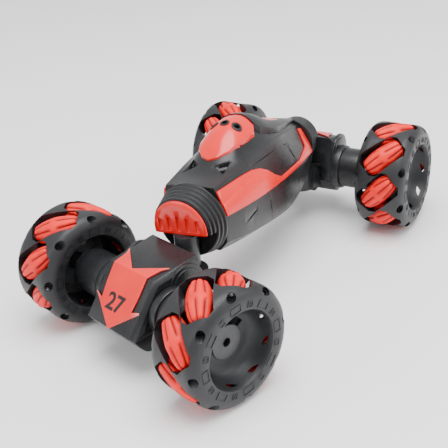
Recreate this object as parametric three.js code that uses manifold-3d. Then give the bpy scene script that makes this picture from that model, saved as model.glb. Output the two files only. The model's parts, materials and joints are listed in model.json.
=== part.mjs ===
// Radio controlled stunt car: a narrow body carried between two swivelling two-wheel modules.
// Every wheel is a pair of toothed shells that hold eight free barrel rollers at 45 degrees.
// Millimetres, +Z up. The car faces -Y, its left side is +X, and it stands on z = 0.
import * as THREE from 'three';
import { mergeVertices } from 'three/addons/utils/BufferGeometryUtils.js';
import Module from 'manifold-3d';

const wasm = await Module();
wasm.setup();

// Wheels
const CROWN_RADIUS = 45;
const SHELL_RADIUS = 43.4;
const SHELL_HALF_WIDTH = 21.6;
const DISH_RADIUS = 28;
const DRUM_RADIUS = 25;
const WHEEL_SEGMENTS = 24;
const ROLLERS_PER_WHEEL = 8;
const ROLLER_RADIUS = 9.3;
const ROLLER_END_RADIUS = 5.9;
const ROLLER_HALF_LENGTH = 17;
const ROLLER_TILT = Math.PI / 4;
const PIN_RADIUS = 1.5;
const PIN_HALF_LENGTH = 20;
const ROLLER_CIRCLE = CROWN_RADIUS - ROLLER_RADIUS;
const TRACK = 155;

// Stance: where the modules and the body stand
const REAR_AXLE_Y = 100;
const FRONT_AXLE_X = -18.3;
const FRONT_AXLE_Y = -149.2;
const FRONT_YAW = THREE.MathUtils.degToRad(-18.7);
const FRONT_ARM = 43;
const REAR_ARM = 22;
const FRONT_ROLLER_PHASE = THREE.MathUtils.degToRad(22.5);
const REAR_ROLLER_PHASE = 0;
// The front wheels stand between two rollers, so they sit this much lower.
const FRONT_DROP = 1.3;
const BODY_X = -5.5;
const BODY_Y = -25;
const BODY_LEAN_HEIGHT = 80;
const BODY_YAW = THREE.MathUtils.degToRad(-1.5);
const BODY_LEAN = THREE.MathUtils.degToRad(6);

// Body
const WALL = 2.4;
const GAP = 0.3;
const PANEL_THICKNESS = 1.1;
const SEAM_FRONT_Z = 82;
const SEAM_REAR_Z = 70;
const BODY_FRONT_Y = -65;
const BODY_REAR_Y = 92;
const KNUCKLE_Z = 80;
const KNUCKLE_RADIUS = 28;
const PIVOT_BOSS_RADIUS = 9;
const PIVOT_PIN_RADIUS = 4;
const RING_REACH = 10.5;
const VISOR_REACH = 19;
const REAR_KNUCKLE_Z = 76;
const REAR_KNUCKLE_RADIUS = 21;
const SWITCH_Y = 48;
const NECK_TOP_Z = 49;
const NECK_BOTTOM_Z = 38;
const NECK_RADIUS = 14;

// Wheel modules
const AXLE_Z = 45;
const MODULE_HALF_WIDTH = 26.5;
const RIDGE_Z = 74.2;
const NOSE_Y = -33;
const BROW_Y = -8;
const BROW_Z = 70;
const MODULE_SEAM_Z = 34;
const TUBE_RADIUS = 17;
const TUBE_END_X = 61;
const SHAFT_RADIUS = 3;
const GEAR_SPIGOT_RADIUS = 4.5;

const finishes = {
  black: { color: 0x1b1c1e, roughness: 0.45, metalness: 0 },
  tread: { color: 0x232426, roughness: 0.55, metalness: 0 },
  red: { color: 0xd8140c, roughness: 0.3, metalness: 0 },
  roller: { color: 0xe0241a, roughness: 0.5, metalness: 0 },
  cell: { color: 0x2f4a86, roughness: 0.4, metalness: 0 },
  grey: { color: 0x8a8d90, roughness: 0.5, metalness: 0.1 },
};

const solid = (geometry) => {
  const bare = geometry.clone();
  bare.deleteAttribute('normal');
  bare.deleteAttribute('uv');
  const merged = mergeVertices(bare, 1e-4);
  return new wasm.Manifold(new wasm.Mesh({
    numProp: 3,
    vertProperties: new Float32Array(merged.attributes.position.array),
    triVerts: new Uint32Array(merged.index.array),
  }));
};

const toGeometry = (manifold) => {
  const mesh = manifold.getMesh();
  const geometry = new THREE.BufferGeometry();
  geometry.setAttribute('position', new THREE.BufferAttribute(new Float32Array(mesh.vertProperties), 3));
  geometry.setIndex(new THREE.BufferAttribute(new Uint32Array(mesh.triVerts), 1));
  return geometry;
};

const named = (name, shape, finish) => {
  const geometry = shape.isBufferGeometry ? shape : toGeometry(shape);
  const mesh = new THREE.Mesh(geometry, new THREE.MeshStandardMaterial(finishes[finish]));
  mesh.name = name;
  return mesh;
};

const box = (low, high) => {
  const size = high.map((value, i) => value - low[i]);
  const geometry = new THREE.BoxGeometry(...size);
  geometry.translate(...low.map((value, i) => value + size[i] / 2));
  return solid(geometry);
};

// A round bar from one point to another.
const bar = (from, to, radius, segments = 16, endRadius = radius) => {
  const start = new THREE.Vector3(...from);
  const axis = new THREE.Vector3(...to).sub(start);
  const geometry = new THREE.CylinderGeometry(endRadius, radius, axis.length(), segments);
  geometry.translate(0, axis.length() / 2, 0);
  geometry.applyQuaternion(new THREE.Quaternion().setFromUnitVectors(
    new THREE.Vector3(0, 1, 0),
    axis.clone().normalize(),
  ));
  geometry.translate(...from);
  return solid(geometry);
};

// An outline in the YZ plane, extruded along X between two planes.
const sideExtrusion = (outline, fromX, toX) => {
  const shape = new THREE.Shape(outline.map(([y, z]) => new THREE.Vector2(y, z)));
  const geometry = new THREE.ExtrudeGeometry(shape, { depth: toX - fromX, bevelEnabled: false });
  geometry.rotateX(Math.PI / 2);
  geometry.rotateZ(Math.PI / 2);
  geometry.translate(fromX, 0, 0);
  return solid(geometry);
};

// An outline in the XY plane, extruded upwards between two heights.
const planExtrusion = (outline, fromZ, toZ) => {
  const shape = new THREE.Shape(outline.map(([x, y]) => new THREE.Vector2(x, y)));
  const geometry = new THREE.ExtrudeGeometry(shape, { depth: toZ - fromZ, bevelEnabled: false });
  geometry.translate(0, 0, fromZ);
  return solid(geometry);
};

// A closed skin over a row of rings that all hold the same number of points.
const loft = (rings) => {
  const count = rings[0].length;
  const points = rings.flat();
  const faces = [];
  for (let r = 0; r + 1 < rings.length; r += 1) {
    for (let i = 0; i < count; i += 1) {
      const a = r * count + i;
      const b = r * count + ((i + 1) % count);
      faces.push(a, a + count, b, b, a + count, b + count);
    }
  }
  const cap = (start, reversed) => {
    const flat = points.slice(start, start + count).map((p) => new THREE.Vector2(p.x, p.z));
    for (const face of THREE.ShapeUtils.triangulateShape(flat, [])) {
      const [a, b, c] = face.map((i) => i + start);
      faces.push(...(reversed ? [a, c, b] : [a, b, c]));
    }
  };
  cap(0, false);
  cap((rings.length - 1) * count, true);
  const geometry = new THREE.BufferGeometry().setFromPoints(points);
  geometry.setIndex(faces);
  return solid(geometry);
};

// ---------------------------------------------------------------- wheels

// Roller k lies across the tread, at 45 degrees to the wheel's axis. The wheel's axis is +X,
// outwards. hand +1 leans a roller outwards as it rises on the -Y side of the wheel.
const rollerPlace = (k, phase, hand) => {
  const angle = phase + (k * 2 * Math.PI) / ROLLERS_PER_WHEEL;
  const outwards = new THREE.Vector3(0, -Math.cos(angle), Math.sin(angle));
  const rising = new THREE.Vector3(0, Math.sin(angle), Math.cos(angle));
  const along = new THREE.Vector3(hand * Math.cos(ROLLER_TILT), 0, 0);
  along.addScaledVector(rising, Math.sin(ROLLER_TILT));
  const across = new THREE.Vector3().crossVectors(along, outwards);
  const turn = new THREE.Matrix4().makeBasis(outwards, along, across.negate());
  return turn.setPosition(outwards.clone().multiplyScalar(ROLLER_CIRCLE));
};

const rollerGeometry = () => {
  const barrel = [-1, -0.5, 0.5, 1].map((t) => new THREE.Vector2(
    ROLLER_RADIUS - (ROLLER_RADIUS - ROLLER_END_RADIUS) * t * t,
    t * ROLLER_HALF_LENGTH,
  ));
  const profile = [
    new THREE.Vector2(0, -PIN_HALF_LENGTH),
    new THREE.Vector2(PIN_RADIUS, -PIN_HALF_LENGTH),
    new THREE.Vector2(PIN_RADIUS, -ROLLER_HALF_LENGTH),
    ...barrel,
    new THREE.Vector2(PIN_RADIUS, ROLLER_HALF_LENGTH),
    new THREE.Vector2(PIN_RADIUS, PIN_HALF_LENGTH),
    new THREE.Vector2(0, PIN_HALF_LENGTH),
  ];
  return toGeometry(solid(new THREE.LatheGeometry(profile, 8)));
};

const latheAboutX = (profile) => {
  const geometry = new THREE.LatheGeometry(profile.map(([r, x]) => new THREE.Vector2(r, x)), WHEEL_SEGMENTS);
  geometry.rotateZ(-Math.PI / 2);
  return solid(geometry);
};

// The eight roller bays have clipped corners and run into each other, which leaves the edges
// of the shells as 45 degree saw teeth. The pin holes run through the teeth to the shoulders.
const bayHalfLength = ROLLER_HALF_LENGTH + 1.2;
const bayFloor = ROLLER_CIRCLE - ROLLER_RADIUS - 0.5;
const bayQuarter = [[7.2, bayHalfLength], [11.4, 14]];
const bayHalf = [...bayQuarter, ...bayQuarter.map(([across, along]) => [across, -along]).reverse()];
const bayOutline = [...bayHalf, ...bayHalf.map(([across, along]) => [-across, along]).reverse()];
const bays = (phase, hand) => {
  const cuts = [];
  for (let k = 0; k < ROLLERS_PER_WHEEL; k += 1) {
    const outline = new THREE.Shape(bayOutline.map(([across, along]) => new THREE.Vector2(across, along)));
    const bay = new THREE.ExtrudeGeometry(outline, { depth: CROWN_RADIUS - bayFloor + 1, bevelEnabled: false });
    bay.rotateY(Math.PI / 2);
    bay.translate(bayFloor - ROLLER_CIRCLE, 0, 0);
    const hole = new THREE.CylinderGeometry(PIN_RADIUS + GAP, PIN_RADIUS + GAP, 70, 6);
    for (const cut of [bay, hole]) {
      cut.applyMatrix4(rollerPlace(k, phase, hand));
      cuts.push(solid(cut));
    }
  }
  return wasm.Manifold.union(cuts);
};

// Half of the rim, from the middle of the wheel to its lip, on the side that sign gives.
const rimProfile = (sign) => [
  [SHELL_RADIUS, sign * GAP / 2],
  [SHELL_RADIUS + 0.3, sign * 15],
  [SHELL_RADIUS - 1.6, sign * 18.6],
  [SHELL_RADIUS - 7, sign * SHELL_HALF_WIDTH],
  [DISH_RADIUS, sign * SHELL_HALF_WIDTH],
];

const windowShape = (start) => {
  const shape = new THREE.Shape();
  const end = start + 1.9;
  shape.absarc(0, 0, 18.4, start, end, false);
  shape.absarc(0, 0, 12.2, end, start, true);
  const geometry = new THREE.ExtrudeGeometry(shape, { depth: 12, bevelEnabled: false, curveSegments: 3 });
  geometry.rotateY(Math.PI / 2);
  geometry.translate(-2, 0, 0);
  return solid(geometry);
};

const outerShell = (cutter) => {
  const profile = [[0, 3], [20, 3], [DRUM_RADIUS - 2, GAP / 2], ...rimProfile(1), [24.5, 12], [20.5, 6], [0, 6]];
  const sleeve = bar([-14, 0, 0], [4, 0, 0], 7, 10);
  const bore = bar([-15, 0, 0], [8, 0, 0], SHAFT_RADIUS + 0.4, 10);
  return latheAboutX(profile)
    .subtract(cutter)
    .add(sleeve)
    .subtract(bore)
    .subtract(windowShape(0.6))
    .subtract(windowShape(0.6 + Math.PI));
};

const innerShell = (cutter) => {
  const ring = [[DRUM_RADIUS, -GAP / 2], ...rimProfile(-1), [DRUM_RADIUS + 1, -12]];
  const closed = [...ring, ring[0]].reverse();
  return latheAboutX(closed).subtract(cutter);
};

const wheel = (prefix, phase, hand) => {
  const group = new THREE.Group();
  const cutter = bays(phase, hand);
  group.add(named(`${prefix}_outer_shell`, outerShell(cutter), 'tread'));
  group.add(named(`${prefix}_inner_shell`, innerShell(cutter), 'tread'));
  for (let k = 0; k < ROLLERS_PER_WHEEL; k += 1) {
    const roller = named(`${prefix}_roller_${k + 1}`, rollerGeometry(), 'roller');
    roller.applyMatrix4(rollerPlace(k, phase, hand));
    group.add(roller);
  }
  return group;
};

// ---------------------------------------------------------------- wheel modules

// A module is drawn with its axle over the origin, its nose towards -Y and its swivel at +Y.
const wheelModule = (prefix, arm, phase) => {
  const group = new THREE.Group();
  const ridgeY = Math.min(arm - 12, 31);
  const w = MODULE_HALF_WIDTH;

  // The top has a steep face and a flat deck behind its brow. It is open underneath,
  // and cut around the gearbox's spigots and the neck.
  const wedge = sideExtrusion([[NOSE_Y, 36], [BROW_Y, BROW_Z], [ridgeY, RIDGE_Z], [ridgeY, MODULE_SEAM_Z + GAP],
    [NOSE_Y + 2, MODULE_SEAM_Z + GAP]], -w, w);
  const hollow = sideExtrusion(
    [[NOSE_Y + 4.2, 20], [NOSE_Y + 4.2, 38.5], [BROW_Y + 1, BROW_Z - 3.4], [ridgeY - WALL, RIDGE_Z - 3.2],
      [ridgeY - WALL, 20]],
    -w + WALL,
    w - WALL,
  );
  const boxHoles = bar([-60, 0, AXLE_Z], [60, 0, AXLE_Z], GEAR_SPIGOT_RADIUS + GAP, 16);
  const neckCut = box([-NECK_RADIUS - GAP, 5, 20], [NECK_RADIUS + GAP, arm, NECK_TOP_Z + GAP]);
  const swivelRoom = bar([0, arm, NECK_TOP_Z - 12], [0, arm, NECK_TOP_Z + 40], PIVOT_BOSS_RADIUS + 1.4, 20);
  const upper = wedge.subtract(hollow).subtract(boxHoles).subtract(neckCut).subtract(swivelRoom);

  // The belly holds the axle tubes, which reach into the wheels, and the neck with the swivel's socket.
  const seam = MODULE_SEAM_Z;
  const belly = sideExtrusion([[NOSE_Y + 7, 25], [NOSE_Y + 2, seam], [ridgeY, seam], [ridgeY, 28],
    [ridgeY - 6, 22], [NOSE_Y + 12, 21]], -w, w);
  const tubes = bar([-TUBE_END_X, 0, AXLE_Z], [TUBE_END_X, 0, AXLE_Z], TUBE_RADIUS, 24)
    .subtract(box([-w - GAP, -30, seam], [w + GAP, 30, 90]));
  const gearRoom = box([-w + WALL, NOSE_Y + 10, 24.5], [w - WALL, Math.min(ridgeY - 2, 18), 80]);
  const tubeRoom = bar([-TUBE_END_X + WALL, 0, AXLE_Z], [TUBE_END_X - WALL, 0, AXLE_Z], TUBE_RADIUS - WALL, 16);
  const shaftHole = bar([-80, 0, AXLE_Z], [80, 0, AXLE_Z], SHAFT_RADIUS + GAP, 12);
  const neckStart = Math.min(ridgeY - 3, arm - 10);
  const neck = box([-NECK_RADIUS, neckStart, 28], [NECK_RADIUS, arm, NECK_TOP_Z - 4]);
  const socket = bar([0, arm, 32], [0, arm, NECK_TOP_Z], NECK_RADIUS, 20);
  const socketBore = bar([0, arm, 20], [0, arm, 60], PIVOT_PIN_RADIUS + GAP, 16);
  const socketRoom = bar([0, arm, NECK_TOP_Z], [0, arm, NECK_TOP_Z + 30], NECK_RADIUS, 20);
  const lower = belly.add(tubes).subtract(gearRoom).subtract(tubeRoom).add(neck).subtract(socketRoom)
    .add(socket).subtract(shaftHole).subtract(socketBore);

  // The gearbox and its two half shafts.
  const gearbox = box([-w + WALL + 1, -9, 31], [w - WALL - 1, Math.min(ridgeY - 4, 12), 44.5])
    .add(bar([-w - 20, 0, AXLE_Z], [w + 20, 0, AXLE_Z], GEAR_SPIGOT_RADIUS, 14))
    .add(bar([-TRACK / 2 - 1, 0, AXLE_Z], [TRACK / 2 + 1, 0, AXLE_Z], SHAFT_RADIUS, 12));

  // The red number panel is a barbed arrow that lies on the steep face and bends over the brow.
  const skin = (lift) => sideExtrusion([[NOSE_Y - 1.24 * lift, 36], [BROW_Y - 0.5 * lift, BROW_Z + lift],
    [ridgeY, RIDGE_Z + lift], [ridgeY, 36]], -w, w);
  const barb = [[23.5, -22.5], [16.2, -24], [17.5, -17], [17.8, -8], [19, 3], [22, 8.5]];
  const mirrored = barb.map(([x, y]) => [-x, y]).reverse();
  const arrow = planExtrusion([[0, NOSE_Y - 1], ...barb, [0, BROW_Y + 1], ...mirrored], 30, 90);
  const panel = skin(GAP + PANEL_THICKNESS).subtract(skin(GAP)).intersect(arrow);

  group.add(named(`${prefix}_module_upper`, upper, 'black'));
  group.add(named(`${prefix}_module_lower`, lower, 'black'));
  group.add(named(`${prefix}_gearbox`, gearbox, 'grey'));
  group.add(named(`${prefix}_number_panel`, panel, 'red'));

  for (const [side, x, turn, hand] of [['a', TRACK / 2, 0, -1], ['b', -TRACK / 2, Math.PI, 1]]) {
    const wheelName = { front_a: 'front_left', front_b: 'front_right', rear_a: 'rear_right', rear_b: 'rear_left' };
    const one = wheel(wheelName[`${prefix}_${side}`], phase, hand);
    one.position.set(x, 0, AXLE_Z);
    one.rotation.z = turn;
    group.add(one);
  }
  return group;
};

// ---------------------------------------------------------------- body

// Cross sections from nose to tail: half width and height at the floor, the lower edge, the belt,
// the shoulder, and the height of the crown.
const stations = [
  { y: -65, floor: [17, 55], low: [24, 62], belt: [26.5, 82], shoulder: [20.5, 104.5], crown: 105.5 },
  { y: -48, floor: [18, 52], low: [26, 58.5], belt: [29, 81], shoulder: [22.5, 105.5], crown: 106.5 },
  { y: -34, floor: [19, 50], low: [27, 56], belt: [30.5, 80], shoulder: [24, 106.5], crown: 113 },
  { y: -18, floor: [19, 47.5], low: [27.5, 53], belt: [31.5, 79], shoulder: [25, 107.5], crown: 124 },
  { y: -2, floor: [19, 45.5], low: [27.5, 50.5], belt: [31.5, 77.5], shoulder: [25.5, 108], crown: 129.5 },
  { y: 18, floor: [19, 43.5], low: [27, 48], belt: [31, 75.5], shoulder: [25, 107.5], crown: 128 },
  { y: 36, floor: [18, 43], low: [25, 46.5], belt: [29.5, 73.5], shoulder: [22.5, 105], crown: 119 },
  { y: 62, floor: [16, 46], low: [22, 50], belt: [26.5, 71], shoulder: [16.5, 99.5], crown: 108 },
  { y: 92, floor: [12, 54], low: [17, 58], belt: [20.5, 71], shoulder: [8.5, 92.5], crown: 95.5 },
];

// One ring of the body, moved outwards by a margin (inwards where it is negative).
const bodyRing = (s, margin, y = s.y) => {
  const side = [s.floor, s.low, s.belt, s.shoulder];
  const rise = s.crown - s.shoulder[1];
  const dome = [0.82, 0.5].map((t) => [s.shoulder[0] * t, s.shoulder[1] + rise * (1 - t * t * 1.25)]);
  const half = [...side, ...dome];
  const centre = [0, s.crown];
  const outline = [...half, centre, ...half.slice().reverse().map(([x, z]) => [-x, z])];
  const middle = (s.floor[1] + s.crown) / 2;
  return outline.map(([x, z]) => new THREE.Vector3(
    x === 0 ? 0 : x + Math.sign(x) * margin,
    y,
    z + Math.sign(z - middle) * margin * (Math.abs(z - middle) > 12 ? 1 : 0),
  ));
};

const bodyForm = (margin, endMargin = margin) => loft(stations.map((s, i) => {
  const ends = { 0: -endMargin, [stations.length - 1]: endMargin };
  return bodyRing(s, margin, s.y + (ends[i] ?? 0));
}));

const seamAt = (y) => THREE.MathUtils.mapLinear(y, BODY_FRONT_Y, BODY_REAR_Y, SEAM_FRONT_Z, SEAM_REAR_Z);
const below = (margin) => sideExtrusion(
  [[-120, 0], [-120, seamAt(-120) - margin], [130, seamAt(130) - margin], [130, 0]].reverse(),
  -60,
  60,
);

// A thin plate that follows the body's skin inside a given outline.
const skinPlate = (region) => bodyForm(GAP + PANEL_THICKNESS).subtract(bodyForm(GAP)).intersect(region);

// The body stands on its two swivels with a small lean, so its frame is turned against the car's.
const bodyFrame = new THREE.Matrix4().makeRotationFromEuler(new THREE.Euler(0, -BODY_LEAN, BODY_YAW, 'ZYX'));
bodyFrame.setPosition(BODY_X, BODY_Y, BODY_LEAN_HEIGHT);
bodyFrame.multiply(new THREE.Matrix4().makeTranslation(0, 0, -BODY_LEAN_HEIGHT));
const toBody = bodyFrame.clone().invert();
const inBody = (x, y, z) => new THREE.Vector3(x, y, z).applyMatrix4(toBody).toArray();

// The ringed collar at each end of the body, with the upright swivel pin under it.
// facing is -1 at the nose and +1 at the tail; pivot is the swivel axis on the ground.
const knuckle = (facing, wallY, height, radius, pivot) => {
  const disc = (from, to, r) => bar(
    [0, wallY + facing * from, height],
    [0, wallY + facing * to, height],
    r,
    24,
  );
  const chin = box([-60, -140, 0], [60, 140, RIDGE_Z + 2]);
  const visor = disc(8, VISOR_REACH, radius - 4).subtract(chin);
  const post = bar(inBody(...pivot, NECK_TOP_Z + 1), inBody(...pivot, RIDGE_Z + 6), PIVOT_BOSS_RADIUS, 16);
  const pin = bar(inBody(...pivot, NECK_BOTTOM_Z), inBody(...pivot, RIDGE_Z), PIVOT_PIN_RADIUS, 12);
  const grilleRoom = disc(VISOR_REACH + 0.01, VISOR_REACH + 20, 60)
    .subtract(box([-60, -140, 0], [60, 140, RIDGE_Z - 1]));
  return disc(GAP, 4, radius)
    .add(disc(3.9, 8, radius - 1.5))
    .add(disc(7.9, RING_REACH, radius - 3))
    .add(visor)
    .add(post.subtract(grilleRoom))
    .add(pin);
};

// The red louvred plate on a collar's face, flat along its lower edge.
const grille = (facing, wallY, height, radius) => {
  const from = wallY + facing * (VISOR_REACH + GAP);
  const to = from + facing * 2.2;
  let plate = bar([0, from, height], [0, to, height], radius, 24)
    .subtract(box([-60, -140, 0], [60, 140, RIDGE_Z + 2.6]));
  for (let i = -2; i <= 2; i += 1) {
    const x = i * radius * 0.34;
    const low = Math.min(from, to) - 1;
    plate = plate.subtract(box([x - 1.1, low, RIDGE_Z + 5], [x + 1.1, low + 5, height + radius * 0.55]));
  }
  return plate;
};

const body = new THREE.Group();
const hollowForm = bodyForm(0).subtract(bodyForm(-WALL));
const lowerForm = hollowForm.intersect(below(GAP));
const hatch = box([-13, -22, 30], [13, 30, 52]);
const hatchRoom = box([-13 - GAP, -22 - GAP, 30], [13 + GAP, 30 + GAP, 52]);
const cradles = [-34, 38].map((y) => box([-17, y, 40], [17, y + 2, 55]).intersect(bodyForm(-WALL + 0.5)));
const switchSlot = box([-5.4, SWITCH_Y - 2.4, 30], [5.4, SWITCH_Y + 2.4, 52]);
const frontPivot = new THREE.Vector3(0, FRONT_ARM, 0)
  .applyAxisAngle(new THREE.Vector3(0, 0, 1), FRONT_YAW)
  .add(new THREE.Vector3(FRONT_AXLE_X, FRONT_AXLE_Y, 0));
const rearPivot = new THREE.Vector3(0, REAR_AXLE_Y - REAR_ARM, 0);

body.add(named('body_upper_shell', hollowForm.subtract(below(0)), 'black'));
body.add(named('body_lower_shell', lowerForm.subtract(hatchRoom).subtract(switchSlot)
  .add(cradles[0]).add(cradles[1]), 'black'));
body.add(named('battery_cover', lowerForm.intersect(hatch), 'black'));
body.add(named('battery_pack', box([-14, -40, 55.3], [14, 42, 70]), 'cell'));
body.add(named('power_switch', box([-5, SWITCH_Y - 2, 42.6], [1, SWITCH_Y + 2, 48.5])
  .add(box([-8, SWITCH_Y - 4, 48.4], [4, SWITCH_Y + 4, 50])), 'grey'));

const canopyHalf = [[0, -35], [14, -31], [18, -8], [15.5, 20], [9, 27], [12, 36], [12.5, 47], [8, 70], [1.5, 90]];
const canopyOutline = [...canopyHalf, ...canopyHalf.slice(1).reverse().map(([x, y]) => [-x, y])];
body.add(named('canopy_insert', skinPlate(planExtrusion(canopyOutline, 80, 150)), 'red'));

const flank = [[-63, 82.8], [6, 77.8], [56, 74], [86, 71.6], [89, 78], [89, 89.5], [84, 91], [78, 79], [56, 77],
  [14, 80.5], [5, 85], [-5, 95], [-16, 99.5], [-30, 101], [-63, 101.5]];
body.add(named('side_panel_left', skinPlate(sideExtrusion(flank, 5, 60)), 'red'));
body.add(named('side_panel_right', skinPlate(sideExtrusion(flank, -60, -5)), 'red'));

body.add(named(
  'front_knuckle',
  knuckle(-1, BODY_FRONT_Y, KNUCKLE_Z, KNUCKLE_RADIUS, [frontPivot.x, frontPivot.y]),
  'black',
));
body.add(named(
  'rear_knuckle',
  knuckle(1, BODY_REAR_Y, REAR_KNUCKLE_Z, REAR_KNUCKLE_RADIUS, [rearPivot.x, rearPivot.y]),
  'black',
));
body.add(named('front_grille', grille(-1, BODY_FRONT_Y, KNUCKLE_Z, KNUCKLE_RADIUS - 7), 'red'));
body.add(named('rear_grille', grille(1, BODY_REAR_Y, REAR_KNUCKLE_Z, REAR_KNUCKLE_RADIUS - 5), 'red'));
body.applyMatrix4(bodyFrame);

// ---------------------------------------------------------------- the car

const frontModule = wheelModule('front', FRONT_ARM, FRONT_ROLLER_PHASE);
frontModule.position.set(FRONT_AXLE_X, FRONT_AXLE_Y, -FRONT_DROP);
frontModule.rotation.z = FRONT_YAW;
const rearModule = wheelModule('rear', REAR_ARM, REAR_ROLLER_PHASE);
rearModule.position.set(0, REAR_AXLE_Y, 0);
rearModule.rotation.z = Math.PI;

// The origin is the middle of the car's box, on the ground.
const car = new THREE.Group();
car.add(body, frontModule, rearModule);
car.updateMatrixWorld(true);
const extent = new THREE.Box3().setFromObject(car, true);
car.position.set(-(extent.min.x + extent.max.x) / 2, -(extent.min.y + extent.max.y) / 2, -extent.min.z);

export default car;
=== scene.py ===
import json
import math

import bmesh
import bpy
from mathutils import Matrix, Vector


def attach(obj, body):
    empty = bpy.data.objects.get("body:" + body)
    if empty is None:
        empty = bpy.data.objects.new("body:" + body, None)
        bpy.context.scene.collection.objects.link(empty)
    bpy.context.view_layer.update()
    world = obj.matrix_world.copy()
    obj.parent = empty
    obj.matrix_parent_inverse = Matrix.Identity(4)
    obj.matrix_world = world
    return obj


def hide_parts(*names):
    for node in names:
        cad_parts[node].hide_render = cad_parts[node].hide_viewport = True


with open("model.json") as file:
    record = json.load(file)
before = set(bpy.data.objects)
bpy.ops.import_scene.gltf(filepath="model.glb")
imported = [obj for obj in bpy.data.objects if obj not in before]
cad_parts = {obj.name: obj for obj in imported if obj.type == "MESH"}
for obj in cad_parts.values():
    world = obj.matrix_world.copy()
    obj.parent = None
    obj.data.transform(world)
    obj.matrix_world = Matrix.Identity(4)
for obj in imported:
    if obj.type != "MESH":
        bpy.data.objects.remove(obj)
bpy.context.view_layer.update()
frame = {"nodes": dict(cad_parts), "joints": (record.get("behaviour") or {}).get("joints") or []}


# ---- Camera
# The car is seen from its front left, a little above, through a long lens. The picture leans
# slightly, and the lens is wide enough for the whole car with a margin all round.
eye = Vector((0.34087, -0.59349, 0.4043))
aim = Vector((-0.00849, 0.01311, 0.03997))
lean = math.radians(-4.29)
forward = (aim - eye).normalized()
level = forward.cross(Vector((0, 0, 1))).normalized()
upright = level.cross(forward)
side_way = level * math.cos(lean) + upright * math.sin(lean)
up_way = upright * math.cos(lean) - level * math.sin(lean)
camera_data = bpy.data.cameras.new("camera")
camera_data.lens = 79.05
camera_data.sensor_width = 36
camera_data.clip_end = 20
camera = bpy.data.objects.new("camera", camera_data)
camera.matrix_world = Matrix.Translation(eye) @ Matrix((side_way, up_way, -forward)).transposed().to_4x4()
bpy.context.scene.collection.objects.link(camera)
bpy.context.scene.camera = camera


# ---- Wheel shell plastic
# The shells are moulded in black plastic with a fine spark-eroded grain. It is satin, greyer where
# the grain catches dust, and a little polished where hands and floors have rubbed it.
class Signal:
    """A number, colour or vector inside a material, on which sums are written as expressions."""

    def __init__(self, tree, socket):
        self.tree = tree
        self.socket = socket

    def sum(self, operation, *terms):
        node = self.tree.nodes.new("ShaderNodeMath")
        node.operation = operation
        for slot, term in zip(node.inputs, terms):
            if isinstance(term, Signal):
                self.tree.links.new(term.socket, slot)
            else:
                slot.default_value = term
        return Signal(self.tree, node.outputs[0])

    def __add__(self, other): return self.sum("ADD", self, other)
    def __radd__(self, other): return self.sum("ADD", other, self)
    def __sub__(self, other): return self.sum("SUBTRACT", self, other)
    def __rsub__(self, other): return self.sum("SUBTRACT", other, self)
    def __mul__(self, other): return self.sum("MULTIPLY", self, other)
    def __rmul__(self, other): return self.sum("MULTIPLY", other, self)


class Finish:
    """One finish of the car: a Principled shader, and what varies over the surface."""

    def __init__(self, name, **constants):
        self.material = bpy.data.materials.new(name)
        self.material.use_nodes = True
        self.tree = self.material.node_tree
        self.shader = self.tree.nodes["Principled BSDF"]
        for socket, value in constants.items():
            self.shader.inputs[socket.replace("_", " ")].default_value = value
        self.place = self.node("ShaderNodeTexCoord", out="Object")

    def node(self, kind, settings=(), out=0, **sockets):
        node = self.tree.nodes.new(kind)
        for key, value in dict(settings).items():
            if key == "stops":
                for element, (position, colour) in zip(node.color_ramp.elements, value):
                    element.position = position
                    element.color = colour
            else:
                setattr(node, key, value)
        for key, value in sockets.items():
            socket = node.inputs[key.replace("_", " ")]
            if isinstance(value, Signal):
                self.tree.links.new(value.socket, socket)
            else:
                socket.default_value = value
        return Signal(self.tree, node.outputs[out])

    def noise(self, scale, detail=3.0, roughness=0.5):
        return self.node("ShaderNodeTexNoise", Vector=self.place, Scale=scale, Detail=detail,
                         Roughness=roughness)

    def between(self, low, high, mask, bottom=0.35, top=0.65):
        """A mask that rises from 0 to 1 as a signal goes from low to high, stretched over two colours."""
        return self.node("ShaderNodeValToRGB", {"stops": [(bottom, low), (top, high)]}, Fac=mask)

    def scratches(self, scale, share):
        """Fine hairlines in two directions: 1 on a hairline and 0 elsewhere."""
        stretched = self.node("ShaderNodeMapping", Vector=self.place,
                              Scale=(scale, scale * 0.06, scale * 0.3), Rotation=(0.3, 0.5, 0.9))
        web = self.node("ShaderNodeTexVoronoi", {"feature": "DISTANCE_TO_EDGE"}, Vector=stretched, Scale=1.0)
        return web.sum("LESS_THAN", web, share)

    def wear(self, colour, roughness, bump):
        links = self.tree.links
        links.new(colour.socket, self.shader.inputs["Base Color"])
        links.new(roughness.socket, self.shader.inputs["Roughness"])
        height = self.node("ShaderNodeBump", out="Normal", Height=bump, Strength=0.25, Distance=0.0003)
        links.new(height.socket, self.shader.inputs["Normal"])
        return self.material


def grained_black(name, dark, pale, rough, grain, **constants):
    """Black moulded plastic: its two greys, its roughness, and the scale of its grain."""
    finish = Finish(name, **constants)
    clouds = finish.noise(38.0, 4.0)
    grains = finish.noise(grain, 2.0, 0.6)
    dust = finish.noise(9.0, 6.0, 0.7)
    hair = finish.scratches(260.0, 0.006)
    colour = finish.between(dark, pale, clouds * 0.55 + dust * 0.35 + grains * 0.1, 0.38, 0.68)
    roughness = rough + (clouds - 0.5) * 0.22 + (grains - 0.5) * 0.12 - hair * 0.1
    return finish.wear(colour, roughness, grains * 0.8 + clouds * 0.25 - hair * 0.3)


shell_black = grained_black("shell_black", (0.010, 0.0105, 0.012, 1), (0.024, 0.025, 0.028, 1), 0.42, 2600.0,
                            Specular_IOR_Level=0.4)


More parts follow.
